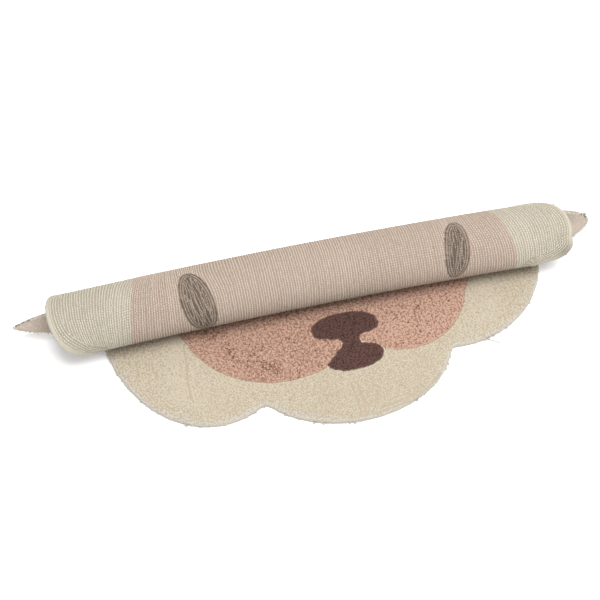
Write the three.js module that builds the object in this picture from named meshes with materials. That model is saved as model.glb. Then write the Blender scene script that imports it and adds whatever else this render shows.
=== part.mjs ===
// A tufted wool rug for a child's room in the shape of a sheep's head.
// It is one cut piece of cloth. The chin lies flat on the floor, pile up, and
// the rest is rolled up from the crown, pile inwards, until the roll lies on
// the cheeks. The ears are part of the cloth and stick out of both roll ends.
// Millimetres, +Z up. The origin is under the middle of the rug's box.
import * as THREE from 'three';
import { mergeVertices } from 'three/addons/utils/BufferGeometryUtils.js';

// Cloth
const clothThickness = 13;        // backing and pile together
const rimThickness = 9.5;         // the pile is clipped lower at the cut edge
const rimWidth = 12;              // how far in from the edge that starts

// Flat pattern: x runs across the head, u from the chin's edge to the crown.
// Each scallop of the fleece is an oval, and the outline goes round them all.
const chinScallops = [
  { name: 'left jowl', x: -205, u: 281, rx: 173, ru: 237 },
  { name: 'chin', x: 24, u: 133, rx: 179, ru: 133 },
  { name: 'right jowl', x: 223, u: 277, rx: 180, ru: 178 },
];
const sideScallops = {
  left: [
    chinScallops[0],
    { name: 'left cheek', x: -366, u: 430, rx: 88, ru: 112 },
    { name: 'left temple', x: -250, u: 590, rx: 150, ru: 135 },
  ],
  right: [
    chinScallops[2],
    { name: 'right cheek', x: 360, u: 455, rx: 80, ru: 84 },
    { name: 'right temple', x: 240, u: 590, rx: 150, ru: 135 },
  ],
};
const crownScallops = [
  sideScallops.left[2],
  { name: 'crown', x: 0, u: 612, rx: 205, ru: 138 },
  sideScallops.right[2],
];
// Each ear is a leaf that grows out of the edge between two rows of the cloth.
// lift and back say how far its tip springs off the curl of the roll.
const ears = {
  left: { from: 598, to: 680, tipX: -515, sharpness: 0.95, lift: 3, back: 1 },
  right: { from: 590, to: 692, tipX: 500, sharpness: 0.75, lift: -4, back: -3 },
};
const chinEnds = { left: -377.8, right: 402.8 };  // where the jowls are widest
const crownEnds = { left: -300, right: 295 };
const chinNotches = [-134, 200.5];                // x where two scallops meet
const earRowsEnd = 700;                           // the crown's own rows start here

// Roll: the section is a spiral, a little flattened by its weight
const touchAt = 257;              // u where the cloth leaves the floor
const outerRadius = 64;
const turnPitch = 16;             // how much nearer the middle each turn lies
const ovalWidth = 1.03;
const ovalHeight = 0.93;
const rollOffset = -7.6;          // from the line u = touchAt to the roll, at its ends
const bow = 10.5;                 // the roll bends back in the middle by this
const bowHalfLength = 460;

// The floor part isn't quite flat: a rim that lifts and two slack places
const swells = [
  { name: 'lifted rim of the right jowl', x: 330, u: 104, reachX: 62, reachU: 34, height: 4.5 },
  { name: 'slack under the mouth', x: 60, u: 70, reachX: 34, reachU: 60, height: 1.6 },
  { name: 'slack in the left jowl', x: -270, u: 120, reachX: 26, reachU: 80, height: 1.8 },
];

// Steps of the surface
const bodyColumns = 24;
const rimColumns = 3;
const chinRows = [0, 0.045, 0.15, 0.32, 0.54, 0.77, 1];
const crownRows = [0.16, 0.34, 0.52, 0.7, 0.88, 1];
const turnStep = THREE.MathUtils.degToRad(12);

const rollCentre = (x) => rollOffset + bow * (1 - (x / bowHalfLength) ** 2);
const contactAt = (x) => touchAt + rollCentre(x);
const lerp = THREE.MathUtils.lerp;

// Section of the roll as the angle turns from the floor over the back to the top
function rollSection(angle) {
  const radius = outerRadius - turnPitch * angle / (2 * Math.PI);
  return {
    y: ovalWidth * radius * Math.sin(angle),
    z: ovalHeight * (outerRadius - radius * Math.cos(angle)),
  };
}

// Length of cloth from the floor to each small step of angle
const arcStep = THREE.MathUtils.degToRad(0.5);
const arcLengths = [0];
for (let k = 1; k * arcStep < 4 * Math.PI; k += 1) {
  const a = rollSection((k - 1) * arcStep);
  const b = rollSection(k * arcStep);
  arcLengths.push(arcLengths[k - 1] + Math.hypot(b.y - a.y, b.z - a.z));
}

function lengthAt(angle) {
  const k = Math.min(Math.floor(angle / arcStep), arcLengths.length - 2);
  return lerp(arcLengths[k], arcLengths[k + 1], angle / arcStep - k);
}

function angleAt(length) {
  let k = 0;
  while (k < arcLengths.length - 2 && arcLengths[k + 1] < length) k += 1;
  return (k + (length - arcLengths[k]) / (arcLengths[k + 1] - arcLengths[k])) * arcStep;
}

const swellAt = (x, u) => swells.reduce((sum, s) =>
  sum + s.height * Math.exp(-(((x - s.x) / s.reachX) ** 2) - ((u - s.u) / s.reachU) ** 2), 0);

// Outline of the flat pattern
const halfChord = (t) => Math.sqrt(Math.max(0, 1 - t * t));
const spansU = (oval, u) => Math.abs(u - oval.u) < oval.ru;
const spansX = (oval, x) => Math.abs(x - oval.x) < oval.rx;

function bodyEdge(u, side) {
  const sign = side === 'left' ? -1 : 1;
  const reaches = sideScallops[side].filter((oval) => spansU(oval, u))
    .map((oval) => sign * oval.x + oval.rx * halfChord((u - oval.u) / oval.ru));
  return sign * Math.max(...reaches);
}

function fullEdge(u, side) {
  const ear = ears[side];
  const edge = bodyEdge(u, side);
  if (u <= ear.from || u >= ear.to) return edge;
  const across = (u - ear.from) / (ear.to - ear.from);
  return lerp(edge, ear.tipX, Math.sin(Math.PI * across) ** ear.sharpness);
}

const chinEdge = (x) => Math.min(...chinScallops.filter((oval) => spansX(oval, x))
  .map((oval) => oval.u - oval.ru * halfChord((x - oval.x) / oval.rx)));
const crownEdge = (x) => Math.max(...crownScallops.filter((oval) => spansX(oval, x))
  .map((oval) => oval.u + oval.ru * halfChord((x - oval.x) / oval.rx)));

// A point of the pattern to its place in the rolled-up rug, depth above the backing
function place(x, u, depth) {
  const length = u - contactAt(x);
  const centre = rollCentre(x);
  const point = new THREE.Vector3();
  if (length <= 0) {
    point.set(x, centre + length, depth + swellAt(x, u));
  } else {
    const angle = angleAt(length);
    const here = rollSection(angle);
    const ahead = rollSection(angle + arcStep);
    const along = new THREE.Vector2(ahead.y - here.y, ahead.z - here.z).normalize();
    point.set(x, centre + here.y - depth * along.y, here.z + depth * along.x);
  }
  const side = x < 0 ? 'left' : 'right';
  const ear = ears[side];
  if (u > ear.from && u < ear.to) {
    const edge = bodyEdge(u, side);
    const out = THREE.MathUtils.clamp((x - edge) / (ear.tipX - edge), 0, 1);
    point.y += ear.back * out * out;
    point.z += ear.lift * out * out;
  }
  return point;
}

// x of every column of a row: fine at the rims, and out along the ears where there are any
function columnsBetween(left, leftBody, rightBody, right) {
  const columns = [];
  for (let k = 0; k < rimColumns; k += 1) columns.push(lerp(left, leftBody, k / rimColumns));
  for (let k = 0; k <= bodyColumns; k += 1) {
    const across = 2 * k / bodyColumns - 1;
    const eased = 0.5 * across + 0.5 * Math.sin(across * Math.PI / 2);
    columns.push(lerp(leftBody, rightBody, (eased + 1) / 2));
  }
  for (let k = 1; k <= rimColumns; k += 1) columns.push(lerp(rightBody, right, k / rimColumns));
  return columns;
}

function columnsAt(uLeft, uRight) {
  const left = fullEdge(uLeft, 'left');
  const right = fullEdge(uRight, 'right');
  return columnsBetween(left, Math.max(left, bodyEdge(uLeft, 'left')) + rimWidth,
    Math.min(right, bodyEdge(uRight, 'right')) - rimWidth, right);
}

// Rows of pattern points, from the chin's edge to the crown's
function patternRows() {
  const rows = [];
  const rowOn = (columns, uAt) => columns.map((x) => ({ x, u: uAt(x) }));

  const chinColumns = columnsBetween(chinEnds.left, chinEnds.left + rimWidth,
    chinEnds.right - rimWidth, chinEnds.right);
  for (const notch of chinNotches) {
    const miss = chinColumns.map((x) => Math.abs(x - notch));
    chinColumns[miss.indexOf(Math.min(...miss))] = notch;
  }
  const chin = rowOn(chinColumns, chinEdge);
  const contactColumns = columnsAt(contactAt(chinEnds.left), contactAt(chinEnds.right));
  const contact = rowOn(contactColumns, contactAt);
  for (const t of chinRows) {
    const row = chin.map((p, j) => ({ x: lerp(p.x, contact[j].x, t), u: lerp(p.u, contact[j].u, t) }));
    row[0].x = bodyEdge(row[0].u, 'left');
    row.at(-1).x = bodyEdge(row.at(-1).u, 'right');
    rows.push(row);
  }

  // On the roll each row keeps one angle
  const crownStart = angleAt(earRowsEnd - contactAt(0));
  const turnRows = Math.round(crownStart / turnStep);
  for (let k = 1; k <= turnRows; k += 1) {
    const length = lengthAt(crownStart * k / turnRows);
    const uLeft = contactAt(fullEdge(touchAt + length, 'left')) + length;
    const uRight = contactAt(fullEdge(touchAt + length, 'right')) + length;
    rows.push(rowOn(columnsAt(uLeft, uRight), (x) => contactAt(x) + length));
  }

  const last = rows.at(-1);
  const crownColumns = columnsBetween(crownEnds.left, crownEnds.left + rimWidth,
    crownEnds.right - rimWidth, crownEnds.right);
  const crown = rowOn(crownColumns, crownEdge);
  for (const t of crownRows) {
    const row = last.map((p, j) => ({ x: lerp(p.x, crown[j].x, t), u: lerp(p.u, crown[j].u, t) }));
    row[0].x = bodyEdge(row[0].u, 'left');
    row.at(-1).x = bodyEdge(row.at(-1).u, 'right');
    rows.push(row);
  }
  return rows;
}

// The closed sheet: backing below or outside, pile above or inside, a cut rim between
function rugGeometry() {
  const rows = patternRows();
  const width = rows[0].length;
  const onRim = (i, j) => i === 0 || j === 0 || i === rows.length - 1 || j === width - 1;
  const positions = [];
  const triangles = [];
  rows.forEach((row, i) => row.forEach(({ x, u }, j) => {
    const depth = onRim(i, j) ? rimThickness : clothThickness;
    positions.push(...place(x, u, 0), ...place(x, u, depth));
  }));
  const backing = (i, j) => 2 * (i * width + j);
  const pile = (i, j) => backing(i, j) + 1;
  const quad = (a, b, c, d) => triangles.push(a, b, c, a, c, d);

  for (let i = 0; i < rows.length - 1; i += 1) {
    for (let j = 0; j < width - 1; j += 1) {
      quad(pile(i, j), pile(i, j + 1), pile(i + 1, j + 1), pile(i + 1, j));
      quad(backing(i, j), backing(i + 1, j), backing(i + 1, j + 1), backing(i, j + 1));
    }
  }
  const wall = (i, j, i2, j2) => quad(backing(i, j), backing(i2, j2), pile(i2, j2), pile(i, j));
  for (let j = 0; j < width - 1; j += 1) {
    wall(0, j, 0, j + 1);
    wall(rows.length - 1, j + 1, rows.length - 1, j);
  }
  for (let i = 0; i < rows.length - 1; i += 1) {
    wall(i + 1, 0, i, 0);
    wall(i, width - 1, i + 1, width - 1);
  }

  const geometry = new THREE.BufferGeometry();
  geometry.setAttribute('position', new THREE.Float32BufferAttribute(positions, 3));
  geometry.setIndex(triangles);
  const welded = mergeVertices(geometry, 1e-3);
  welded.computeBoundingBox();
  const { min, max } = welded.boundingBox;
  welded.translate(-(min.x + max.x) / 2, -(min.y + max.y) / 2, 0);
  welded.computeVertexNormals();
  return welded;
}

const wool = new THREE.MeshStandardMaterial({ color: 0xd6c9ad, roughness: 0.95, metalness: 0 });
const rug = new THREE.Mesh(rugGeometry(), wool);
rug.name = 'rug';

const group = new THREE.Group();
group.add(rug);
export default group;
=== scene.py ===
import math

import bpy
import numpy as np
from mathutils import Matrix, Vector
from mathutils.kdtree import KDTree


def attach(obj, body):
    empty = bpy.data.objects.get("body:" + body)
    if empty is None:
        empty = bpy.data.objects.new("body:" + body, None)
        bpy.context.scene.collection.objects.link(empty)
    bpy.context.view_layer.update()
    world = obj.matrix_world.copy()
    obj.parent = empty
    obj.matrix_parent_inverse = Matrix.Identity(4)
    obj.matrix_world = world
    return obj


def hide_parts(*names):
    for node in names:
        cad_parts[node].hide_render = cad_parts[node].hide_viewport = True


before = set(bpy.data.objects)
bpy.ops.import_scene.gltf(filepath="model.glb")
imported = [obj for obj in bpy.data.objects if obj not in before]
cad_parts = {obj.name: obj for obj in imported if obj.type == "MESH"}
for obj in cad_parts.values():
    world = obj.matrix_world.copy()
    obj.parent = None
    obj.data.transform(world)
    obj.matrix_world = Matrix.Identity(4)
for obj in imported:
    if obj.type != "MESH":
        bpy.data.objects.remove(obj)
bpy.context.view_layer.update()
millimetre = 0.001
print("frame loaded")


# The cut pattern
# x runs across the head and u from chin to crown, in millimetres.
# An oval is (x, u, half width, half height).
pattern = {
    "leftJowl": (-205, 281, 173, 237),
    "chin": (24, 133, 179, 133),
    "rightJowl": (223, 277, 180, 178),
    "leftCheek": (-366, 430, 88, 120),
    "rightCheek": (360, 455, 80, 84),
    "leftTemple": (-250, 590, 150, 135),
    "rightTemple": (240, 590, 150, 135),
    "crown": (0, 612, 205, 138),
    "rightFold": (368, 486, 70, 48),
    "chinOvals": ("leftJowl", "chin", "rightJowl"),
    "crownOvals": ("leftTemple", "crown", "rightTemple"),
    "leftOvals": ("leftJowl", "leftCheek", "leftTemple"),
    "rightOvals": ("rightJowl", "rightCheek", "rightFold", "rightTemple"),
    "chinEnds": (-377.8, 402.8),
    "crownEnds": (-300, 295),
    "chinFillet": 18,
    "crownFillet": 1.0,
    "outlineStep": 0.6,
    "toPart": (8.33, 96.31, 0.0),  # from the pattern's zero to the part's origin
}
earShape = {
    "left": {"from": 598, "to": 680, "tip": -517, "sharpness": 1.7, "lift": 3, "back": 1},
    "right": {"from": 590, "to": 692, "tip": 503, "sharpness": 0.68, "lift": -4, "back": -3},
}
earMargin = (8, 4)  # how far an ear's area goes beyond its root and its sides
roll = {
    "touchAt": 257,  # the u at which the cloth leaves the floor, in the middle
    "radius": 64, "turnPitch": 16, "ovalWidth": 1.03,
    "ovalHeight": 0.93, "offset": -7.6, "bow": 10.5,
    "bowHalfLength": 460,
}
# (x, u, reach across, reach along, height)
swells = [
    (330, 104, 62, 34, 4.5),
    (60, 70, 34, 60, 1.6),
    (-270, 120, 26, 80, 1.8),
]
sideSign = {"left": -1, "right": 1}
outOfReach = -1e9


def unit(vectors):
    return vectors / np.maximum(np.linalg.norm(vectors, axis=-1, keepdims=True), 1e-12)


def smooth(value, low, high):
    t = np.clip((value - low) / (high - low), 0, 1)
    return t * t * (3 - 2 * t)


def hump(x, u, middleX, middleU, reachX, reachU):
    # 1 at its middle, and next to nothing beyond its reach
    return np.exp(-((x - middleX) / reachX) ** 2 - ((u - middleU) / reachU) ** 2)


def rollCentre(x):
    return roll["offset"] + roll["bow"] * (1 - (x / roll["bowHalfLength"]) ** 2)


def contactAt(x):
    return roll["touchAt"] + rollCentre(x)


def rollSection(angle):
    radius = roll["radius"] - roll["turnPitch"] * angle / (2 * math.pi)
    y = roll["ovalWidth"] * radius * np.sin(angle)
    z = roll["ovalHeight"] * (roll["radius"] - radius * np.cos(angle))
    return y, z


arcAngles = np.radians(np.arange(0, 720.5, 0.5))
arcY, arcZ = rollSection(arcAngles)
arcLengths = np.concatenate([[0], np.cumsum(np.hypot(np.diff(arcY), np.diff(arcZ)))])


def outermost(at, ovals, sign, fillet=0):
    # how far the ovals reach at each place along them
    reach = np.full(np.shape(at), outOfReach)
    for middle, centre, halfWidth, halfHeight in ovals:
        t = np.clip((at - middle) / halfWidth, -1, 1)
        here = sign * centre + halfHeight * np.sqrt(1 - t * t)
        here = np.where(np.abs(at - middle) < halfWidth, here, outOfReach)
        soft = np.clip(fillet - np.abs(reach - here), 0, None) ** 2 / (4 * fillet) if fillet else 0
        reach = np.maximum(reach, here) + soft
    return sign * reach


def widest(u, ovals, side):
    turned = [(u0, x0, halfHeight, halfWidth) for x0, u0, halfWidth, halfHeight in ovals]
    return outermost(u, turned, sideSign[side])


def ovalsOf(group):
    return [pattern[name] for name in pattern[group]]


def sideEdge(u, side):
    return widest(u, ovalsOf(side + "Ovals"), side)


def fullEdge(u, side):
    ear = earShape[side]
    edge = sideEdge(u, side)
    across = np.clip((u - ear["from"]) / (ear["to"] - ear["from"]), 0, 1)
    leaf = np.sin(math.pi * across) ** ear["sharpness"]
    return edge + (ear["tip"] - edge) * np.where((across > 0) & (across < 1), leaf, 0)


def chinEdge(x):
    return outermost(x, ovalsOf("chinOvals"), -1, pattern["chinFillet"])


def crownEdge(x):
    return outermost(x, ovalsOf("crownOvals"), 1, pattern["crownFillet"])


def place(x, u, depth):
    x, u, depth = np.broadcast_arrays(np.asarray(x, float), u, depth)
    centre = rollCentre(x)
    length = u - contactAt(x)
    angle = np.interp(np.maximum(length, 0), arcLengths, arcAngles)
    y, z = rollSection(angle)
    aheadY, aheadZ = rollSection(angle + 0.008)
    tangent = np.hypot(aheadY - y, aheadZ - z)
    ty, tz = (aheadY - y) / tangent, (aheadZ - z) / tangent
    swell = sum(height * hump(x, u, *spot) for *spot, height in swells)
    flat = length <= 0
    outY = np.where(flat, centre + length, centre + y - depth * tz)
    outZ = np.where(flat, depth + swell, z + depth * ty)
    for side, ear in earShape.items():
        edge = sideEdge(u, side)
        out = np.clip((x - edge) / (ear["tip"] - edge), 0, 1)
        out = np.where((u > ear["from"]) & (u < ear["to"]), out, 0)
        outY = outY + ear["back"] * out ** 2
        outZ = outZ + ear["lift"] * out ** 2
    points = np.stack([x, outY, outZ], axis=-1)
    return (points + np.array(pattern["toPart"])) * millimetre


def pileNormal(x, u, depth):
    across = place(x + 0.5, u, depth) - place(x - 0.5, u, depth)
    along = place(x, u + 0.5, depth) - place(x, u - 0.5, depth)
    return unit(np.cross(across, along))


def resample(points, step):
    gaps = np.hypot(*np.diff(points, axis=0).T)
    run = np.concatenate([[0], np.cumsum(gaps)])
    at = np.linspace(0, run[-1], max(2, int(run[-1] / step)))
    return np.stack([np.interp(at, run, points[:, 0]), np.interp(at, run, points[:, 1])], axis=-1)


def aheadOf(points, reach):
    # the way a closed line runs at each of its points
    return unit(np.roll(points, -reach, axis=0) - np.roll(points, reach, axis=0))


def cutOutline():
    eased = 0.5 - 0.5 * np.cos(np.linspace(0, math.pi, 1600))
    ends = []
    for edge, (start, end) in ((chinEdge, pattern["chinEnds"]), (crownEdge, pattern["crownEnds"][::-1])):
        x = start + (end - start) * eased
        ends.append(np.stack([x, edge(x)], axis=-1))
    chin, crown = ends
    sides = []
    for side, start, end in (("right", chin[-1, 1], crown[0, 1]), ("left", crown[-1, 1], chin[0, 1])):
        u = np.linspace(start, end, 2400)
        sides.append(np.stack([fullEdge(u, side), u], axis=-1))
    return resample(np.concatenate([chin, sides[0], crown, sides[1]]), pattern["outlineStep"])


outline = cutOutline()
outlineAhead = aheadOf(outline, 3)
outlineInward = np.stack([-outlineAhead[:, 1], outlineAhead[:, 0]], axis=-1)


def treeOf(points):
    tree = KDTree(len(points))
    for index, point in enumerate(points):
        tree.insert((point[0], point[1], 0), index)
    tree.balance()
    return tree


def nearest(tree, x, u):
    # which point of the tree is nearest to each place, and how far
    hits = [tree.find((px, pu, 0)) for px, pu in zip(np.ravel(x), np.ravel(u))]
    return np.array([hit[1] for hit in hits]), np.array([hit[2] for hit in hits])


outlineTree = treeOf(outline)


def edgeDistance(x, u):
    # how far inside the cut edge a point lies
    index, gap = nearest(outlineTree, x, u)
    toPoint = np.stack([np.ravel(x), np.ravel(u)], axis=-1) - outline[index]
    side = np.sign(np.sum(toPoint * outlineInward[index], axis=-1))
    return (gap * side).reshape(np.shape(x))


# Coloured areas
face = {
    "leftMuzzle": (-80, 250, 165, 154),
    "rightMuzzle": (135, 250, 125, 140),
    "leftFlare": (-160, 250, 92, 80),
    "rightFlare": (172, 250, 98, 80),
    "brow": (6.5, 560, 334, 420),
}
faceTop = 640
nose = {
    "tip": (30, 181, 58, 26),
    "nostrils": ((-5, 175, 22, 14), (66, 175, 23, 15)),
    "neck": (((34, 168), (34, 143)), 15),  # its two ends, and its radius
    "mouth": (32, 118, 51, 27),
    "mouthTop": (142, 18, 50),  # u, and x of the neck's two sides there
    "mouthSlopes": (1.13, 3.0),
    "fillet": 9,
}
eyes = {
    "left": {"centre": (-208.5, 481), "halfLength": 62, "halfWidth": 25.8, "tilt": 10},
    "right": {"centre": (236.5, 474.5), "halfLength": 57, "halfWidth": 21, "tilt": -8},
}


def inOval(x, u, x0, u0, halfWidth, halfHeight):
    return ((x - x0) / halfWidth) ** 2 + ((u - u0) / halfHeight) ** 2 < 1


def inFace(x, u):
    return np.any([inOval(x, u, *oval) for oval in face.values()], axis=0) & (u < faceTop)


def faceEdge(u, side):
    return widest(u, [face[name] for name in (side + "Muzzle", side + "Flare", "brow")], side)


def fromSegment(x, u, start, end):
    # the way from the nearest point of a segment to each place
    (ax, au), (bx, bu) = start, end
    t = ((x - ax) * (bx - ax) + (u - au) * (bu - au)) / ((bx - ax) ** 2 + (bu - au) ** 2)
    t = np.clip(t, 0, 1)
    return x - ax - t * (bx - ax), u - au - t * (bu - au)


def pastOval(across, along, halfWidth, halfLength):
    # how far outside an oval a place lies
    level = np.hypot(across / halfWidth, along / halfLength)
    slope = np.hypot(across / halfWidth ** 2, along / halfLength ** 2)
    return (level - 1) * np.maximum(level, 0.05) / np.maximum(slope, 1e-4)


def inNose(x, u):
    ovals = [pastOval(x - x0, u - u0, halfWidth, halfHeight)
             for x0, u0, halfWidth, halfHeight in (nose["tip"], *nose["nostrils"])]
    upper = np.minimum.reduce(ovals)
    ends, radius = nose["neck"]
    neck = np.hypot(*fromSegment(x, u, *ends)) - radius
    fillet = np.clip(nose["fillet"] - np.abs(upper - neck), 0, None) ** 2 / (4 * nose["fillet"])
    top, left, right = nose["mouthTop"]
    slopes = nose["mouthSlopes"]
    down = np.clip(top - u, 0, None)
    between = (x > left - slopes[0] * down) & (x < right + slopes[1] * down)
    mouth = inOval(x, u, *nose["mouth"]) & between & (u < top + 2)
    return (np.minimum(upper, neck) - fillet < 0) | mouth


def eyeDistance(x, u, side):
    eye = eyes[side]
    tilt = math.radians(eye["tilt"])
    dx, du = x - eye["centre"][0], u - eye["centre"][1]
    along = du * math.cos(tilt) + dx * math.sin(tilt)
    across = dx * math.cos(tilt) - du * math.sin(tilt)
    return pastOval(across, along, eye["halfWidth"], eye["halfLength"])


def nearestEye(x, u):
    return np.minimum(eyeDistance(x, u, "left"), eyeDistance(x, u, "right"))


def isEar(x, u):
    found = np.zeros(np.shape(u), bool)
    root, beside = earMargin
    for side, ear in earShape.items():
        outside = sideSign[side] * (x - sideEdge(u, side)) > -root
        found |= outside & (u > ear["from"] - beside) & (u < ear["to"] + beside)
    return found


def borderPoints(inside, low, high, grid=0.7):
    # the border of a coloured area, and the way out of it
    x, u = np.meshgrid(np.arange(low[0], high[0], grid), np.arange(low[1], high[1], grid))
    mask = inside(x, u)
    soft, inner = mask.astype(float), mask
    for axis in (0, 1):
        inner = inner & np.roll(mask, 1, axis) & np.roll(mask, -1, axis)
    for axis in (0, 1) * 6:
        soft = (np.roll(soft, 1, axis) + 2 * soft + np.roll(soft, -1, axis)) / 4
    turned = mask & ~inner
    turned[[0, -1], :] = False
    turned[:, [0, -1]] = False
    slopeU, slopeX = np.gradient(soft)
    outX, outU = -slopeX[turned], -slopeU[turned]
    size = np.maximum(np.hypot(outX, outU), 1e-9)
    return np.stack([x[turned], u[turned], outX / size, outU / size], axis=-1)


def thinned(points, gap):
    # keeps points at least this far apart
    kept = points[:1]
    for point in points[1:]:
        if np.min(np.hypot(kept[:, 0] - point[0], kept[:, 1] - point[1])) > gap:
            kept = np.concatenate([kept, point[None]])
    return kept


# brown for nose and mouth, grey for the eyes, beige for the ears, and edging for the face's
# outermost rows on the back and the paler rim of the pile
cream, pink, brown, grey, beige, edging, marked = range(7)


def areaOf(x, u):
    area = np.where(inFace(x, u), pink, cream)
    area = np.where(inNose(x, u), brown, area)
    area = np.where(nearestEye(x, u) < 0, grey, area)
    return np.where(isEar(x, u), beige, area)


print("pattern laid out")


# Yarn materials
wool = {
    "patches": (14, 3),  # how fine the wool's uneven patches are, and so on
    "grain": (420, 2), "fibres": (1500, 3), "flecks": (260, 1),
    "fibreStretch": (1, 1, 0.45),
    "tipGain": 1.7,  # how soon the tip's colour is reached going up a tuft; below it the darker root colour is painted shade at the tuft's foot
    "patchShare": 0.5, "grainShare": 0.45, "fleckLevel": 0.72,
    "fleckSharpness": 7.0,
    "roughness": (0.15, 0.82),  # how much the fibres change it, and the least
    "fibreBump": 0.6, "bumpDepth": 0.0006, "shine": 0.15,
    "sheen": (0.05, 0.7),  # weight and roughness
}


def addNode(tree, kind, inputs=None, **settings):
    # a node with its settings, and a value or link for each named input
    made = tree.nodes.new(kind)
    count = len(tree.nodes)
    made.location = (200 * (count % 8), -240 * (count // 8))
    for name, value in settings.items():
        setattr(made, name, value)
    for name, value in (inputs or {}).items():
        if isinstance(value, bpy.types.NodeSocket):
            tree.links.new(value, made.inputs[name])
        else:
            made.inputs[name].default_value = value
    return made


def result(tree, kind, inputs=None, **settings):
    return addNode(tree, kind, inputs, **settings).outputs[0]


def addMath(tree, operation, *values, clamp=False):
    return result(tree, "ShaderNodeMath", dict(enumerate(values)), operation=operation, use_clamp=clamp)


def addMix(tree, factor, first, second, blend="MIX"):
    inputs = {0: factor, 6: first, 7: second}
    return addNode(tree, "ShaderNodeMix", inputs, data_type="RGBA", blend_type=blend).outputs[2]


def addNoise(tree, coordinates, scale, detail):
    inputs = {"Vector": coordinates, "Scale": scale, "Detail": detail, "Roughness": 0.6}
    return result(tree, "ShaderNodeTexNoise", inputs)


def addAttribute(tree, name, output="Fac"):
    return addNode(tree, "ShaderNodeAttribute", attribute_name=name).outputs[output]


def addSockets(tree, kind, *names, way="INPUT"):
    for name in names:
        tree.interface.new_socket(name, in_out=way, socket_type="NodeSocket" + kind)


def yarnGroup():
    tree = bpy.data.node_groups.new("woolYarn", "ShaderNodeTree")
    addSockets(tree, "Color", "Tip", "Root", "Fleck")
    addSockets(tree, "Float", "Fleck Share", "Unevenness")
    addSockets(tree, "Color", "Color", way="OUTPUT")
    addSockets(tree, "Float", "Roughness", "Height", way="OUTPUT")
    source = addNode(tree, "NodeGroupInput").outputs
    here = addNode(tree, "ShaderNodeTexCoord").outputs["Object"]
    tone, rise = addAttribute(tree, "tone"), addAttribute(tree, "rise")
    patches, grain, flecks = (
        addNoise(tree, here, *wool[name]) for name in ("patches", "grain", "flecks"))
    stretched = result(tree, "ShaderNodeMapping", {"Vector": here, "Scale": wool["fibreStretch"]})
    fibres = addNoise(tree, stretched, *wool["fibres"])

    # darker towards the foot of each tuft and stitch: painted shade
    height = addMath(tree, "MULTIPLY", rise, wool["tipGain"], clamp=True)
    spread = addMath(tree, "MULTIPLY", addMath(tree, "SUBTRACT", patches, 0.5), wool["patchShare"])
    uneven = addMath(tree, "SUBTRACT", tone, 0.5)
    uneven = addMath(tree, "MULTIPLY_ADD", uneven, source["Unevenness"], spread)
    speck = addMath(tree, "MULTIPLY", addMath(tree, "SUBTRACT", grain, 0.5), wool["grainShare"])
    level = addMath(tree, "ADD", addMath(tree, "ADD", height, uneven), speck, clamp=True)
    colour = addMix(tree, level, source["Root"], source["Tip"])
    gate = addMath(tree, "ADD", flecks, source["Fleck Share"])
    gate = addMath(tree, "SUBTRACT", gate, wool["fleckLevel"])
    gate = addMath(tree, "MULTIPLY", gate, wool["fleckSharpness"], clamp=True)
    addNode(tree, "NodeGroupOutput", {
        "Color": addMix(tree, gate, colour, source["Fleck"]),
        "Roughness": addMath(tree, "MULTIPLY_ADD", fibres, *wool["roughness"]),
        "Height": addMath(tree, "MULTIPLY_ADD", fibres, wool["fibreBump"], grain),
    })
    return tree


woolYarn = yarnGroup()


def shade(red, green, blue):
    def linear(value):
        value /= 255
        return value / 12.92 if value < 0.04045 else ((value + 0.055) / 1.055) ** 2.4
    return (linear(red), linear(green), linear(blue), 1)


def newMaterial(name):
    material = bpy.data.materials.new(name)
    material.use_nodes = True
    material.node_tree.nodes.clear()
    return material, material.node_tree


def addBump(tree, strength, depth, height):
    return result(tree, "ShaderNodeBump", {"Strength": strength, "Distance": depth, "Height": height})


def addSurface(tree, colour, roughness, shine, more):
    surface = result(tree, "ShaderNodeBsdfPrincipled", {
        "Base Color": colour, "Roughness": roughness, "Specular IOR Level": shine, **more})
    addNode(tree, "ShaderNodeOutputMaterial", {"Surface": surface})


def yarnMaterial(name, tip, root, fleck, fleckShare, unevenness, bumpStrength):
    material, tree = newMaterial(name)
    yarn = addNode(tree, "ShaderNodeGroup", {
        "Tip": shade(*tip), "Root": shade(*root), "Fleck": shade(*fleck),
        "Fleck Share": fleckShare, "Unevenness": unevenness}, node_tree=woolYarn).outputs
    sheen, sheenRoughness = wool["sheen"]
    addSurface(tree, yarn["Color"], yarn["Roughness"], wool["shine"], {
        "Normal": addBump(tree, bumpStrength, wool["bumpDepth"], yarn["Height"]),
        "Sheen Weight": sheen, "Sheen Roughness": sheenRoughness})
    return material


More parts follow.
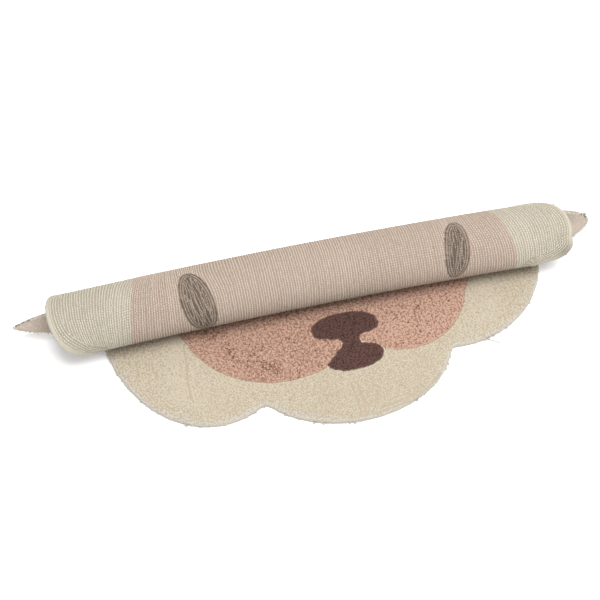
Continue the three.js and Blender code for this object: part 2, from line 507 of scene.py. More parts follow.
# each yarn's tip, root and fleck, the share of flecks, its unevenness and its bump; the root colour is
# painted shade at the foot of each tuft and stitch, and also the dark end of the yarn's uneven tone
yarnColours = {
    "creamPileWool": ((174, 164, 147), (150, 138, 120), (158, 146, 127), 0.08, 0.55, 0.5),
    "rimPileWool": ((171, 166, 156), (152, 145, 134), (152, 144, 133), 0.08, 0.3, 0.5),
    "pinkPileWool": ((173, 142, 125), (94, 63, 47), (123, 89, 74), 0.14, 0.75, 0.6),
    "nosePileWool": ((82, 56, 49), (41, 24, 22), (47, 29, 26), 0.1, 0.4, 0.5),
    "earPileWool": ((189, 177, 167), (154, 137, 125), (162, 147, 135), 0.06, 0.25, 0.4),
    "earMarkWool": ((118, 115, 106), (84, 80, 73), (96, 92, 84), 0.06, 0.3, 0.4),
    "creamBackYarn": ((180, 173, 159), (130, 123, 108), (157, 150, 135), 0.08, 0.45, 0.4),
    "pinkBackYarn": ((173, 160, 147), (135, 119, 105), (152, 136, 124), 0.08, 0.5, 0.4),
    "faceEdgeYarn": ((175, 158, 145), (125, 105, 94), (154, 133, 121), 0.06, 0.3, 0.4),
    "eyeBackYarn": ((143, 128, 115), (79, 67, 60), (91, 78, 69), 0.12, 0.8, 0.4),
    "earBackYarn": ((175, 162, 149), (123, 103, 90), (162, 140, 126), 0.08, 0.3, 0.4),
}
yarns = {name: yarnMaterial(name, *values) for name, values in yarnColours.items()}
backing = {
    "weavePitch": (0.0044, 0.0022), "weaveAlong": 0.35,
    "weaveDepth": 0.35, "wool": (520, 3),
    "woolWash": ((0.72, 0.72, 0.72, 1), (1.12, 1.12, 1.12, 1)),
    "patches": (20, 3),
    "patchWash": ((0.9, 0.91, 0.9, 1), (1.06, 1.05, 1.04, 1)),
    "roughness": (0.12, 0.84),  # how much the wool changes it, and the least
    "bump": (0.5, 0.0008),
}


def clothMaterial():
    material, tree = newMaterial("backingCloth")
    flat = addNode(tree, "ShaderNodeUVMap", uv_map="pattern").outputs["UV"]
    here = addNode(tree, "ShaderNodeTexCoord").outputs["Object"]
    split = addNode(tree, "ShaderNodeSeparateXYZ", {0: flat}).outputs
    across, along = [
        addMath(tree, "SINE", addMath(tree, "MULTIPLY", split[axis], 2 * math.pi / pitch))
        for axis, pitch in enumerate(backing["weavePitch"])]
    weave = addMath(tree, "MULTIPLY_ADD", along, backing["weaveAlong"], across)
    bare = addMath(tree, "SUBTRACT", 1.0, addAttribute(tree, "pileSide"))
    weave = addMath(tree, "MULTIPLY", weave, bare)
    grain, patches = (addNoise(tree, here, *backing[name]) for name in ("wool", "patches"))
    height = addMath(tree, "MULTIPLY_ADD", weave, backing["weaveDepth"], grain)
    colour = addAttribute(tree, "cloth", "Color")
    for noise, wash in ((grain, backing["woolWash"]), (patches, backing["patchWash"])):
        colour = addMix(tree, 1.0, colour, addMix(tree, noise, *wash), "MULTIPLY")
    rough = addMath(tree, "MULTIPLY_ADD", grain, *backing["roughness"])
    addSurface(tree, colour, rough, wool["shine"], {"Normal": addBump(tree, *backing["bump"], height)})
    return material


print("wool mixed")


# The cloth itself
cloth = {
    "bodyColumns": 150, "rimColumns": 20, "rimWidth": 12,
    "rowStep": 4.0, "earRowStep": 2.0,
    "earZone": (584, 700),  # where the grid is as fine as that
    "notches": (-134.0, 200.5),  # x of the corners between chin and jowls
    "chinRows": (0, 0.7, 1.5, 2.6, 4.2, 6.5, 9.5, 13.5, 18),  # the first rows from the chin
    "flatRows": 60, "flatFrom": 22,  # the rows after those, up to the roll
    "crownRows": (0.2, 0.4, 0.58, 0.74, 0.86, 0.94, 0.98, 1.0),
    "rimHeight": 3.8,  # of the middle of the rounded edge
    "rimReach": (3.0, 4.5),  # how far in the edge is rounded, back and pile side
    "clipped": 0.2,  # share of the pile's height cut off beside the edge
    "hemWidth": 7.0,  # the bare band outside the last tufting row
    "foldShadow": (424, 503, 22, 16, 0.34),  # painted shade by the right end's fold
    "rowDepth": 1.2,  # how proud the rows stand
    "rowsRise": (-45, -12),  # from the roll, where they start to
    "underRing": 1.5,  # the eyes' outer stitches cover this much
    "pileBase": 10.7, "earBase": 8.6,
    "hem": (173, 167, 153),
    "hemEdge": (-1.5, 0.5),  # from where the hem ends, where its colour fades
    # the cut edge's colour, partly its own pale colour and partly a painted highlight along the edge
    "rim": (174, 168, 157),
    "rimEdge": (0.4, 2.4),
}
# the colours on the back and deep in the pile, in the order of the areas; they are the cloth's own
# colours, darkened as painted shade in the gaps between the rows and the tufts
clothColours = [
    ((153, 145, 130), (161, 149, 130)),
    ((148, 131, 118), (136, 106, 90)),
    ((65, 50, 50), (59, 42, 38)),
    ((90, 79, 71), (49, 35, 35)),
    ((150, 133, 121), (166, 154, 142)),
]
wideHem = (7.0, 518, 28)  # how much wider the bare hem is, at which u, and its reach


def hemExtra(u):
    extra, middle, reach = wideHem
    return extra * np.exp(-((u - middle) / reach) ** 2)


def rounded(distance, reach):
    return np.sqrt(1 - np.clip(1 - distance / reach, 0, 1) ** 2)


def backDepth(x, u, distance):
    onRoll = smooth(u - contactAt(x), *cloth["rowsRise"])
    inside = distance - hemExtra(u)
    proud = cloth["rowDepth"] * onRoll * smooth(inside, cloth["hemWidth"] - 1, cloth["hemWidth"] + 1.5)
    return proud + cloth["rimHeight"] * (1 - rounded(distance, cloth["rimReach"][0]))


def pileDepth(x, u, distance):
    rim, clipped = cloth["rimHeight"], cloth["clipped"]
    full = np.where(isEar(x, u), cloth["earBase"], cloth["pileBase"])
    full = rim + (full - rim) * (1 - clipped + clipped * smooth(distance, 4, 12))
    return rim + (full - rim) * rounded(distance, cloth["rimReach"][1])


def columnsBetween(left, right, leftBody, rightBody):
    # dense in the rims and in the ears
    leftBody, rightBody = leftBody + cloth["rimWidth"], rightBody - cloth["rimWidth"]
    rim = np.arange(cloth["rimColumns"]) / cloth["rimColumns"]
    across = np.linspace(-1, 1, cloth["bodyColumns"] + 1)
    eased = (0.7 * across + 0.3 * np.sin(across * math.pi / 2) + 1) / 2
    return np.concatenate([
        left + (leftBody - left) * rim,
        leftBody + (rightBody - leftBody) * eased,
        right + (rightBody - right) * rim[::-1],
    ])


def columnsAt(uLeft, uRight):
    left, right = float(fullEdge(uLeft, "left")), float(fullEdge(uRight, "right"))
    leftBody = max(left, float(sideEdge(uLeft, "left")))
    rightBody = min(right, float(sideEdge(uRight, "right")))
    return columnsBetween(left, right, leftBody, rightBody)


def patternGrid():
    chinEnds, crownEnds = pattern["chinEnds"], pattern["crownEnds"]
    chinX = columnsBetween(*chinEnds, *chinEnds)
    for notch in cloth["notches"]:
        chinX[np.argmin(np.abs(chinX - notch))] = notch
    contactX = columnsAt(*map(contactAt, chinEnds))
    touchAt, found = roll["touchAt"], []

    def addRows(fromX, fromU, toX, toU, steps):
        for t in steps:
            x, u = fromX + (toX - fromX) * t, fromU + (toU - fromU) * t
            x[0], x[-1] = sideEdge(u[0], "left"), sideEdge(u[-1], "right")
            found.append((x, u))

    steps = np.linspace(cloth["flatFrom"] / touchAt, 1, cloth["flatRows"])
    steps = [*np.array(cloth["chinRows"]) / touchAt, *steps]
    addRows(chinX, chinEdge(chinX), contactX, contactAt(contactX), steps)
    earStart, crownStart = (u - contactAt(0) for u in cloth["earZone"])
    spans = ((0, earStart, cloth["rowStep"]), (earStart, crownStart, cloth["earRowStep"]))
    for start, end, step in spans:
        for length in np.linspace(start, end, int((end - start) / step))[1:]:
            middle = touchAt + length
            x = columnsAt(*(contactAt(float(fullEdge(middle, side))) + length for side in sideSign))
            found.append((x, contactAt(x) + length))
    crownX = columnsBetween(*crownEnds, *crownEnds)
    addRows(*found[-1], crownX, crownEdge(crownX), cloth["crownRows"])
    return np.stack(found, axis=1)


def mixed(first, second, share):
    return first * (1 - share) + second * share


def paintedCloth(x, u, distance):
    # the back's and the pile side's colours at each point
    area = areaOf(x, u)
    area = np.where((area == grey) & (nearestEye(x, u) > -cloth["underRing"]), pink, area)
    palette = np.array([[shade(*colour) for colour in pair] for pair in clothColours])
    back, pileSide = palette[area, 0], palette[area, 1]
    low, high = (cloth["hemWidth"] + edge for edge in cloth["hemEdge"])
    hem = (1 - smooth(distance - hemExtra(u), low, high))[:, None]
    onEar = (area == beige)[:, None]
    back = mixed(back, np.where(onEar, palette[beige, 0], shade(*cloth["hem"])), hem)
    # painted shade by the right end's fold, darkening the back there
    *spot, share = cloth["foldShadow"]
    back = back * (1 - share * hump(x, u, *spot)[:, None] * np.array([1, 1, 1, 0]))
    # the cut edge takes the rim colour, partly its own and partly painted highlight
    rim = (1 - smooth(distance, *cloth["rimEdge"]))[:, None]
    return [mixed(colour, np.array(shade(*cloth["rim"])), rim) for colour in (back, pileSide)]


layerKinds = {(): ("FLOAT", "value"), (3,): ("FLOAT_VECTOR", "vector"), (4,): ("FLOAT_COLOR", "color")}


def addLayer(mesh, name, values):
    kind, field = layerKinds[np.shape(values)[1:]]
    layer = mesh.attributes.new(name, kind, "POINT")
    layer.data.foreach_set(field, np.ascontiguousarray(values, float).ravel())


def addObject(name, data):
    made = bpy.data.objects.new(name, data)
    bpy.context.scene.collection.objects.link(made)
    return made


def buildCloth():
    x, u = patternGrid()
    border = np.zeros(x.shape, bool)
    border[[0, -1], :] = True
    border[:, [0, -1]] = True
    distance = np.where(border, 0, edgeDistance(x, u))
    sides = [place(x, u, depth(x, u, distance)).reshape(-1, 3) for depth in (backDepth, pileDepth)]
    count = x.size
    backIndex = np.arange(count).reshape(x.shape)
    pileIndex = np.where(border, backIndex, backIndex + count)  # the two sides meet in the rim
    faces = []
    for index, order in ((backIndex, (0, 3, 2, 1)), (pileIndex, (0, 1, 2, 3))):
        corners = (index[:-1, :-1], index[:-1, 1:], index[1:, 1:], index[1:, :-1])
        faces.append(np.stack([corners[k] for k in order], axis=-1).reshape(-1, 4))
    faces = np.concatenate(faces)
    used, renumbered = np.unique(faces, return_inverse=True)
    faces = renumbered.reshape(faces.shape)
    mesh = bpy.data.meshes.new("rugCloth")
    mesh.from_pydata(np.concatenate(sides)[used].tolist(), [], faces.tolist())
    x, u, distance = map(np.ravel, (x, u, distance))
    addLayer(mesh, "cloth", np.concatenate(paintedCloth(x, u, distance))[used])
    addLayer(mesh, "pileSide", used >= count)
    flat = np.concatenate([np.stack([x, u], -1)] * 2)[used] * millimetre
    corners = np.zeros(len(mesh.loops), int)
    mesh.loops.foreach_get("vertex_index", corners)
    mesh.uv_layers.new(name="pattern").data.foreach_set("uv", flat[corners].ravel())
    mesh.shade_smooth()
    mesh.materials.append(clothMaterial())
    return addObject("rugCloth", mesh)


rugCloth = buildCloth()
print("cloth cut and rolled:", len(rugCloth.data.polygons), "faces")


# Tufting rows
# A row is kept as places (x, u, the way it runs in x and u, the row's own tone).
rows = {
    "pitch": 4.35,
    "leftPitch": 0.92,  # rows are closer together at the left end
    "leftmost": -460,
    "toTheRight": 105,  # how many rows stand right of the middle
    "stitch": 4.4,
    "ringStitch": 3.6,  # round the eyes
    "fromEdge": 4.2,  # the first row's distance from the cut edge
    "edgeRows": 5,  # rows that follow the outline before the upright ones
    "earRows": 11, "wave": 0.66, "sway": 0.35,
    "stray": 0.22,  # of single stitches, to either side
    "straightAt": 470,  # u at which the upright rows have their own places
    "eyeLean": 10,
    "eyeReach": (30, 42),  # left and right of an eye
    "gridShare": 0.85, "seed": 7,
}
# (edge, between which u the rows follow it, how far in from it, how closely)
bends = [
    (faceEdge, (380, 610), 55, 1.0),
    (sideEdge, (390, 532), 60, 0.8),
]
eyeRows = {
    "count": 8,  # to either side of the middle
    "pitch": 3.4, "wave": 1.4, "wander": 0.5, "toneWave": 0.4,
    "inside": 9.4,  # how far inside the eye's outline they stay
}
rng = np.random.default_rng(rows["seed"])


def drift(x, u):
    slow = np.sin(u / 31 + 1.7 * np.sin(x / 83) + 0.4) + 0.6 * np.sin(u / 14.5 + x / 47)
    return rows["wave"] * slow


def bent(x, u):
    # rows run along the face's border, the cut ends and the eyes
    moved = np.array(x, float)
    for side, eye in eyes.items():
        for edge, span, reach, share in bends:
            border = float(edge(rows["straightAt"], side))
            pull = edge(np.clip(u, *span), side) - border
            moved = moved + share * pull * np.exp(-((x - border) / reach) ** 2)
        beside = x - eye["centre"][0] - eye["halfWidth"]
        above = (eye["centre"][1] - u) / eye["halfLength"]
        above = smooth(above, 0, 0.9) * (1 - smooth(above, 0.9, 2.4))
        reach = rows["eyeReach"][int(beside > 0)]
        moved = moved - rows["eyeLean"] * above * math.exp(-(beside / reach) ** 2)
    return moved


def outlineRow(number, step, extra=np.zeros_like):
    offset = rows["fromEdge"] + number * rows["pitch"] + extra(outline[:, 1])
    points = outline + outlineInward * offset[:, None]
    clear = edgeDistance(*points.T) > offset - 0.5
    kept = []
    tone = rng.uniform(0, 1)
    for point, direction in zip(points[clear], outlineAhead[clear]):
        if not kept or np.hypot(*(point - kept[-1][:2])) >= step:
            kept.append((*point, *direction, tone))
    return np.array(kept)


def rowPlaces():
    places, x = [], 0.0
    while x > rows["leftmost"]:
        places.append(x)
        x -= rows["pitch"] * (1 - (1 - rows["leftPitch"]) * smooth(-x, 100, 300))
    return sorted(places) + [rows["pitch"] * (k + 1) for k in range(rows["toTheRight"])]


def gridShare(x):
    # right of the middle the stitches of neighbouring rows stand side by side
    return rows["gridShare"] * smooth(x, 60, 110) * (1 - smooth(x, 260, 330))


def uprightRows(low, high, step):
    found = []
    for middle in rowPlaces():
        phase = rng.uniform(0, step) * (1 - gridShare(middle))
        u = np.arange(low + phase, high, step)
        sway = rows["sway"] * np.sin(u / rng.uniform(35, 60) + rng.uniform(0, 6.3))
        x = bent(middle, u) + drift(middle, u) + sway + rng.normal(0, 0.12)
        lean = np.gradient(x, u)
        x = x + rng.normal(0, rows["stray"], len(u))
        tone = np.full(len(u), rng.uniform(0, 1))
        found.append(np.stack([x, u, lean, np.ones(len(u)), tone], axis=-1))
    return np.concatenate(found)


def insideEdgeRows(found, extra=np.zeros_like):
    reach = rows["fromEdge"] + (rows["edgeRows"] - 0.4) * rows["pitch"]
    x, u = found[:, :2].T
    return found[edgeDistance(x, u) - extra(u) > reach]


def earRows(step):
    found = np.concatenate([outlineRow(k, step) for k in range(rows["edgeRows"], rows["earRows"])])
    return found[isEar(*found[:, :2].T)]


def onEye(side, across, along):
    eye = eyes[side]
    tilt = math.radians(eye["tilt"])
    x = eye["centre"][0] + across * math.cos(tilt) + along * math.sin(tilt)
    u = eye["centre"][1] + along * math.cos(tilt) - across * math.sin(tilt)
    return x, u


def eyeRing(side, offset, tone):
    t = np.linspace(0, 2 * math.pi, 720, endpoint=False)
    half = np.array([eyes[side]["halfWidth"], eyes[side]["halfLength"]])
    circle = np.stack([np.cos(t), np.sin(t)], -1)
    ring = np.stack(onEye(side, *(half * circle + unit(circle / half) * offset).T), -1)
    ring = resample(np.concatenate([ring, ring[:1]]), rows["ringStitch"])[:-1]
    return np.concatenate([ring, aheadOf(ring, 1), np.full((len(ring), 1), tone)], axis=1)


def eyeFill(side):
    found = []
    half, count = eyes[side]["halfLength"], eyeRows["count"]
    for k in range(-count, count + 1):
        along = np.arange(-half, half, rows["stitch"]) + rng.uniform(0, 3)
        wander = np.cumsum(rng.normal(0, eyeRows["wander"], len(along)))
        wave = eyeRows["wave"] * np.sin(along / 11 + rng.uniform(0, 6))
        x, u = onEye(side, k * eyeRows["pitch"] + wave + wander - np.mean(wander), along)
        tone = rng.uniform(0, 1)
        tone = tone + eyeRows["toneWave"] * np.sin(along / rng.uniform(6, 14) + rng.uniform(0, 6))
        found.append(np.stack([x, u, np.gradient(x), np.gradient(u), tone], axis=-1))
    found = np.concatenate(found)
    return found[eyeDistance(*found[:, :2].T, side) < -eyeRows["inside"]]


print("tufting rows ready")


# Instancing
pointVectors = ("outward", "along", "size")


def yarnShape(tree, source, lying):
    # a small ball that stores how far up it each point is, for the painted shade at its foot
    ball = result(tree, "GeometryNodeMeshUVSphere", {"Segments": 4, "Rings": 3})
    turned = result(tree, "GeometryNodeTransform", {
        "Geometry": ball, "Rotation": (0, math.pi / 2 if lying else 0, 0)})
    length, width = (addMath(tree, "MULTIPLY", source[label], 0.5) for label in ("Length", "Width"))
    size = result(tree, "ShaderNodeCombineXYZ", {0: length, 1: width, 2: source["Height"]})
    sized = result(tree, "GeometryNodeTransform", {"Geometry": turned, "Scale": size})
    position = result(tree, "GeometryNodeInputPosition")
    height = addNode(tree, "ShaderNodeSeparateXYZ", {0: position}).outputs["Z"]
    rise = addMath(tree, "DIVIDE", height, source["Height"], clamp=True)
    return result(tree, "GeometryNodeStoreNamedAttribute",
                  {"Name": "rise", "Geometry": sized, "Value": rise})


def plantingTree(name, lying):
    # stands one shape on every point, leaning and sized as the point says
    tree = bpy.data.node_groups.new(name, "GeometryNodeTree")
    addSockets(tree, "Geometry", "Geometry")
    addSockets(tree, "Float", "Length", "Width", "Height", "Raggedness")
    addSockets(tree, "Int", "Seed")
    addSockets(tree, "Material", "Yarn")
    addSockets(tree, "Geometry", "Geometry", way="OUTPUT")
    source = addNode(tree, "NodeGroupInput").outputs
    shape = yarnShape(tree, source, lying)
    outward, along, size = [
        addNode(tree, "GeometryNodeInputNamedAttribute", {"Name": label},
                data_type="FLOAT_VECTOR").outputs["Attribute"] for label in pointVectors]
    turn = result(tree, "FunctionNodeAxesToRotation", {0: outward, 1: along},
                  primary_axis="Z", secondary_axis="X")
    grown = result(tree, "GeometryNodeInstanceOnPoints", {
        "Points": source["Geometry"], "Instance": shape, "Rotation": turn, "Scale": size})
    noise = addNode(tree, "ShaderNodeTexNoise", {"Scale": 330, "Detail": 1, "W": source["Seed"]},
                    noise_dimensions="4D").outputs["Color"]
    centred = result(tree, "ShaderNodeVectorMath", {0: noise, 1: (0.5, 0.5, 0.5)}, operation="SUBTRACT")
    push = result(tree, "ShaderNodeVectorMath", {0: centred, "Scale": source["Raggedness"]},
                  operation="SCALE")
    for kind, inputs in (("RealizeInstances", {}), ("SetPosition", {"Offset": push}),
                         ("SetShadeSmooth", {}), ("SetMaterial", {"Material": source["Yarn"]})):
        grown = result(tree, "GeometryNode" + kind, {0: grown, **inputs})
    addNode(tree, "NodeGroupOutput", {"Geometry": grown})
    return tree


stitchTree = plantingTree("stitchRows", True)
tuftTree = plantingTree("cutPile", False)


def plant(name, tree, yarn, data, chosen, values):
    part = {label: value[chosen] for label, value in data.items()}
    mesh = bpy.data.meshes.new(name)
    mesh.from_pydata(part["points"].tolist(), [], [])
    for label in (*pointVectors, "tone"):
        addLayer(mesh, label, part[label])
    holder = addObject(name + "Points", mesh)
    modifier = holder.modifiers.new("planting", "NODES")
    modifier.node_group = tree
    given = {**values, "Yarn": yarns[yarn]}
    for item in tree.interface.items_tree:
        if item.name in given:
            modifier[item.identifier] = given[item.name]
    graph = bpy.context.evaluated_depsgraph_get()
    grown = bpy.data.meshes.new_from_object(holder.evaluated_get(graph), depsgraph=graph)
    grown.name = name
    for label in pointVectors:
        grown.attributes.remove(grown.attributes[label])
    bpy.data.objects.remove(holder)
    triangles = sum(len(face.vertices) - 2 for face in grown.polygons)
    print(name, len(part["points"]), "planted,", triangles, "triangles")
    return addObject(name, grown)


# Rows on the back
backRows = {
    "span": (230, 760),
    "firstLength": -16,  # from the line where the cloth leaves the floor
    "lastAngle": 372, "eyeClear": 1.6,
    "eyeRings": ((-0.5, -3.5), (-3.4, 0.5), (-7.2, 0.4)),  # offset and tone
    "outlineWidth": 0.7,  # the eyes' dark outline is finer
    "sizes": ((0.92, 1.08), (0.9, 1.06), (0.82, 1.0)),  # length, width and height
    "gridShorter": 0.16, "rightFlatter": 0.25,
    "rowTone": 0.35,  # how much of a stitch's tone is its row's
    "skew": 0.07, "proud": 0.15,
    "pinkEdge": 8,  # the face's outermost rows are pinker
    "seed": 21,
}
stitchSize = {"Length": 0.0056, "Width": 0.0040, "Height": 0.0012, "Raggedness": 0.0005}
eyeStitchSize = {**stitchSize, "Width": 0.0033, "Height": 0.0010}
# (x, u, reach across, reach along, change of tone)
patches = [
    (-332, 449, 13, 24, 0.7),
    (-395, 438, 16, 14, -0.25),
    (350, 440, 22, 60, 0.2),
    (-60, 500, 60, 20, 0.12),
]


def backStitches():
    rngBack = np.random.default_rng(backRows["seed"])
    found = [outlineRow(k, rows["stitch"], hemExtra) for k in range(1, rows["edgeRows"])]
    found.append(earRows(rows["stitch"]))
    up = insideEdgeRows(uprightRows(*backRows["span"], rows["stitch"]), hemExtra)
    up = up[nearestEye(*up[:, :2].T) > backRows["eyeClear"]]
    for side in eyes:
        found += [eyeRing(side, *ring) for ring in backRows["eyeRings"]]
        found.append(eyeFill(side))
    found = np.concatenate(found + [up])
    x, u = found[:, :2].T
    length = u - contactAt(x)
    last = np.interp(math.radians(backRows["lastAngle"]), arcAngles, arcLengths)
    found = found[(length > backRows["firstLength"]) & ((length < last) | isEar(x, u))]
    x, u, rowTone = found[:, 0], found[:, 1], found[:, 4]
    dx, du = unit(found[:, 2:4]).T
    ahead = unit(place(x + dx, u + du, 0) - place(x - dx, u - du, 0))
    outward = -pileNormal(x, u, np.zeros(len(x)))
    size = np.stack([rngBack.uniform(*span, len(x)) for span in backRows["sizes"]], -1)
    size[:, 0] *= 1 - backRows["gridShorter"] * gridShare(x)
    size[:, 1] *= np.where(rowTone < 0, backRows["outlineWidth"], 1)
    size[:, 2] *= 1 - backRows["rightFlatter"] * smooth(x, -100, 250)
    skew = rngBack.normal(0, backRows["skew"], len(x))[:, None] * np.cross(outward, ahead)
    area = areaOf(x, u)
    tone = mixed(rngBack.uniform(0, 1, len(x)), rowTone, backRows["rowTone"])
    for *spot, change in patches:
        tone = tone + change * hump(x, u, *spot)
    atEdge = (area == pink) & ~inFace(x + np.sign(x) * backRows["pinkEdge"], u)
    return {"points": place(x, u, np.full(len(x), cloth["rowDepth"] + backRows["proud"])),
            "outward": outward, "along": unit(ahead + skew), "size": size, "tone": tone,
            "area": np.where(atEdge, edging, area)}


back = backStitches()
pieces = []
for name, area, yarn, size in (
    ("creamBackRows", cream, "creamBackYarn", stitchSize),
    ("pinkBackRows", pink, "pinkBackYarn", stitchSize),
    ("faceEdgeRows", edging, "faceEdgeYarn", stitchSize),
    ("eyeBackRows", grey, "eyeBackYarn", eyeStitchSize),
    ("earBackRows", beige, "earBackYarn", stitchSize),
):
    chosen = back["area"] == area
    pieces.append(plant(name, stitchTree, yarn, back, chosen, {**size, "Seed": area + 1}))
print("back rows stitched")


# Pile
pile = {
    "gap": 1.48,  # between tufts along a row
    "endReach": 50,  # how far into the roll's ends the pile is planted
    "top": 712,
    "underRoll": 4,  # how far under the roll the pile is planted in full
    "hiddenShare": 0.7,  # of the tufts deeper in the roll's ends
    "fringe": -0.45,  # the outermost tufts, in rows from the first one
    "fringeLean": 0.5, "scatter": 1.3, "lean": 0.26,
    "borderRow": 2.0,  # tufts along a colour's border stand this far from it
    "borderClear": 3.3, "borderHeight": 0.86, "partingGap": 1.1,
    "partingStep": 1.7,  # between the short dark tufts of a parting
    "partingReach": 3.2, "partingLean": 0.5,
    "seamWidth": 0.42, "seamHeight": 0.66, "height": (0.8, 1.1),
    "width": (0.85, 1.2), "rim": (5, 13),
    "earSize": (0.8, 0.6),  # the width and height of an ear's tufts
    "earTones": (-0.5, 1.2, -0.8),  # of the left ear's root, darker as painted shade of the roll, and of its tip, lighter as painted light, and of the right ear
    "pinkTones": (-0.1, 0.4),  # left and right
    "chinTone": 0.35,  # the chin is a little duller than the jowls
    "pits": 0.10,  # share of tufts that are sunk
    "leftPinkPits": 1.8,  # times as many in the pink's left half
    "pitHeight": 0.55,
    "shorter": (0.28, 0.4),  # how much shorter tufts are at the rim and beside a parting
    "darker": (1.1, 1.3, 3.0),  # painted shade: how much darker tufts are at partings, in pits and in gaps
    "sink": 1.7,  # how deep a tuft's foot stands in the pile
    "lowest": 3.1, "markFrom": 640, "markWidth": 5,
    "flatTo": 8,  # how far past the touching line the flat pieces go
    "jowlTo": -120, "seed": 33,
}
tuftSize = {"Length": 0.0047, "Width": 0.0047, "Height": 0.0035, "Raggedness": 0.0017}
# lines along which the pile lies parted, as (x, u)
partings = [
    ((14, 70), (16, 35), (16, 6)),
    ((23, 68), (25, 29), (22, 5)),
    ((39, 5), (82, 12), (109, 17), (139, 35), (163, 54)),
    ((48, 12), (84, 19), (121, 29)),
    ((-244, 204), (-246, 164), (-251, 101)),
    ((250, 110), (279, 91)),
]
# grey marks on the ears' edges, from x to x
earMarks = [(-512, -486), (484, 490), (492, 498)]
# painted shade of gaps in the pile, darkening tufts that keep their full height: (x, u, reach, share of
# tufts darkened)
gapShadePlaces = [
    (-113, 135, 9, 0.45), (-103, 122, 7, 0.5), (-126, 128, 6, 0.35), (-166, 175, 12, 0.25),
    (-204, 219, 6, 0.5), (-190, 211, 7, 0.45), (-140, 150, 22, 0.12), (-60, 150, 60, 0.04),
    (150, 190, 70, 0.03), (30, 70, 120, 0.012),
]


def partingDistance(x, u):
    # how far each place is from the nearest parting, and which way is away from it
    best = np.full(len(x), -outOfReach)
    away = np.zeros((len(x), 2))
    for line in partings:
        for start, end in zip(line[:-1], line[1:]):
            gap = np.stack(fromSegment(x, u, start, end), axis=-1)
            far = np.hypot(gap[:, 0], gap[:, 1])
            closer = far < best
            best = np.where(closer, far, best)
            away = np.where(closer[:, None], gap / np.maximum(far, 0.05)[:, None], away)
    return best, away


def pileReach(x, u):
    # how far a place is past the touching line, and in from the roll's ends
    return u - contactAt(x), np.minimum(x - sideEdge(u, "left"), sideEdge(u, "right") - x)


rngPile = np.random.default_rng(pile["seed"])
borders = [borderPoints(inFace, (-290, 60), (320, 262)), borderPoints(inNose, (-60, 60), (120, 230))]
borderTree = treeOf(np.concatenate(borders))


def pileRows():
    step, under, deepest = pile["gap"], pile["underRoll"], pile["endReach"]
    found = [outlineRow(k, step) for k in (pile["fringe"], *range(rows["edgeRows"]))]
    found.append(earRows(step))
    up = uprightRows(0, pile["top"], step)
    length, inward = pileReach(*up[:, :2].T)
    up = insideEdgeRows(up[(length < under) | (inward < deepest)])
    found = np.concatenate(found + [up])
    x, u = found[:, :2].T
    length, inward = pileReach(x, u)
    hidden = (length >= under) & ~isEar(x, u)
    thin = rngPile.uniform(0, 1, len(x)) < np.where(hidden, pile["hiddenShare"], 1)
    found = found[thin & (~hidden | ((inward < deepest) & (u < pile["top"])))]
    return found[:, :2] + rngPile.normal(0, pile["scatter"], (len(found), 2))


def pilePlaces():
    places = pileRows()
    places = [places[nearest(borderTree, *places.T)[1] > pile["borderClear"]]]
    for border in borders:
        line = thinned(border, pile["gap"] + 0.5)
        for way in (-1, 1):
            jitter = rngPile.normal(0, 0.25, (len(line), 2))
            beside = line[:, :2] + line[:, 2:] * way * pile["borderRow"] + jitter
            places.append(beside[beside[:, 1] < contactAt(beside[:, 0])])
    places = np.concatenate(places)
    places = places[partingDistance(*places.T)[0] > pile["partingGap"]]
    seams = [resample(np.array(line, float), pile["partingStep"]) for line in partings]
    return np.concatenate([places] + seams).T  # short tufts along each parting, which are darkened later as painted shade


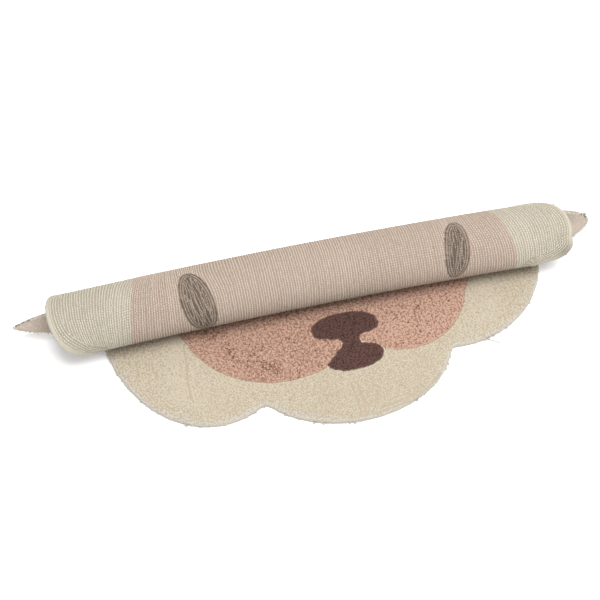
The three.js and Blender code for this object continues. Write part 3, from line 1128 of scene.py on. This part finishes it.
def pileTufts():
    x, u = pilePlaces()
    area = areaOf(x, u)
    ear = area == beige
    distance = edgeDistance(x, u)

    def draw(low, high):
        return rngPile.uniform(low, high, len(x))

    # how each tuft leans
    tilt = unit(rngPile.normal(0, 1, (len(x), 3))) * draw(0, pile["lean"])[:, None]
    dx, du = -outlineInward[nearest(outlineTree, x, u)[0]].T
    outward = unit(place(x + dx, u + du, 9) - place(x - dx, u - du, 9))
    tilt += outward * (pile["fringeLean"] * (1 - smooth(distance, 1, 9)))[:, None]
    parting, away = partingDistance(x, u)
    split = np.clip(1 - parting / pile["partingReach"], 0, 1)
    tilt[:, :2] += away * (pile["partingLean"] * split)[:, None]
    outward = unit(pileNormal(x, u, np.full(len(x), 9.0)) + tilt)

    # which tufts are short, and which are darkened as painted shade
    onSeam = parting < 0.05
    pinkPits = pile["leftPinkPits"] - (pile["leftPinkPits"] - 1) * smooth(x, 0, 120)
    sunk = draw(0, 1) < pile["pits"] * np.where(area == pink, pinkPits, 1)
    dark = onSeam
    for px, pu, reach, share in gapShadePlaces:
        dark = dark | (draw(0, 1) < share * hump(x, u, px, pu, reach, reach))
    nearBorder = nearest(borderTree, x, u)[1] < pile["borderClear"]
    height = draw(*pile["height"]) * np.where(nearBorder, pile["borderHeight"], 1)
    rimShorter, partingShorter = pile["shorter"]
    height *= (1 - rimShorter + rimShorter * smooth(distance, 2, 10)) * (1 - partingShorter * split)
    height *= np.where(sunk, pile["pitHeight"], 1) * np.where(ear, pile["earSize"][1], 1)
    widths = [draw(*pile["width"]) * np.where(ear, pile["earSize"][0], 1) for _ in range(2)]
    size = np.stack([*widths, np.where(onSeam, pile["seamHeight"], height)], axis=-1)
    size[:, :2] *= np.where(onSeam, pile["seamWidth"], 1)[:, None]
    # tufts at partings, in pits and in gaps are darkened as painted shade
    partingShade, pitShade, gapShade = pile["darker"]
    tone = draw(0, 1) - partingShade * split - pitShade * sunk - gapShade * dark
    low, high = pile["pinkTones"]
    tone += (area == pink) * ((high - low) * smooth(x, 20, 200) + low)
    onChin = smooth(x, -110, -20) * (1 - smooth(x, 130, 210))
    tone -= (area == cream) * pile["chinTone"] * onChin
    # the left ear is darkened at its root as painted shade of the roll and lightened towards its tip as
    # painted light
    root, tip, right = pile["earTones"]
    leftEarShading = mixed(root, tip, smooth(-x, 462, 500))
    tone += np.where(ear & (x < 0), leftEarShading, 0) + right * (ear & (x > 0))

    onRim = (area == cream) & (draw(0, 1) > smooth(distance, *pile["rim"]))
    area = np.where(onRim, edging, area)
    markable = ear & (u > pile["markFrom"]) & (distance < pile["markWidth"])
    for low, high in earMarks:
        area = np.where(markable & (x > low) & (x < high), marked, area)
    points = place(x, u, np.maximum(pileDepth(x, u, distance) - pile["sink"], pile["lowest"]))
    return {"points": points, "outward": outward, "along": unit(rngPile.normal(0, 1, (len(x), 3))),
            "size": size, "tone": tone, "area": area,
            "jowl": x <= pile["jowlTo"], "flat": u - contactAt(x) < pile["flatTo"]}


tufts = pileTufts()
flat, area, jowl = tufts["flat"], tufts["area"], tufts["jowl"]
for name, chosen, yarn in (
    ("jowlPile", flat & (area == cream) & jowl, "creamPileWool"),
    ("chinPile", flat & (area == cream) & ~jowl, "creamPileWool"),
    ("pinkPile", flat & (area == pink), "pinkPileWool"),
    ("nosePile", flat & (area == brown), "nosePileWool"),
    ("rimPile", flat & (area == edging), "rimPileWool"),
    ("rollEndPile", ~flat & (area != beige) & (area != marked), "creamPileWool"),
    ("earPile", ~flat & (area == beige), "earPileWool"),
    ("earMarks", ~flat & (area == marked), "earMarkWool"),
):
    pieces.append(plant(name, tuftTree, yarn, tufts, chosen, {**tuftSize, "Seed": len(pieces)}))
print("pile planted")


# Room, light and camera
room = {
    "floor": shade(252, 252, 252),
    "floorReach": 8,
    "floorSurface": (0.9, 0.1),  # roughness and shine
    "camera": (-0.2940, -1.0666, 1.8358),
    "target": (-0.02127, 0.09401, 0.0),
    "lens": 75.6, "sky": 0.86,
}
# (energy, place, size)
lights = {
    "key": (86, (0.2, -0.45, 2.6), 1.5),
    "fill": (8, (1.2, 1.4, 2.2), 1.6),
}


def aim(made, at, target=(0, 0, 0)):
    made.location = at
    made.rotation_mode = "QUATERNION"
    made.rotation_quaternion = (Vector(target) - Vector(at)).to_track_quat("-Z", "Y")


mesh = bpy.data.meshes.new("floor")
far = room["floorReach"]
mesh.from_pydata([(-far, -far, 0), (far, -far, 0), (far, far, 0), (-far, far, 0)], [], [(0, 1, 2, 3)])
material, tree = newMaterial("paleFloor")
addSurface(tree, room["floor"], *room["floorSurface"], {})
mesh.materials.append(material)
addObject("floor", mesh)
for name, (energy, at, size) in lights.items():
    light = bpy.data.lights.new(name, "AREA")
    light.energy = energy
    light.size = size
    aim(addObject(name, light), at)
world = bpy.data.worlds.new("sky")
world.use_nodes = True
sky = world.node_tree.nodes["Background"].inputs
sky["Color"].default_value = (1, 1, 1, 1)
sky["Strength"].default_value = room["sky"]
bpy.context.scene.world = world
bpy.context.scene.view_settings.view_transform = "Standard"
camera = bpy.data.cameras.new("camera")
camera.lens = room["lens"]
bpy.context.scene.camera = addObject("camera", camera)
aim(bpy.context.scene.camera, room["camera"], room["target"])
print("room lit")


# Attaching the pieces and hiding the model's rug
for piece in [rugCloth] + pieces:
    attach(piece, "root")
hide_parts("rug")
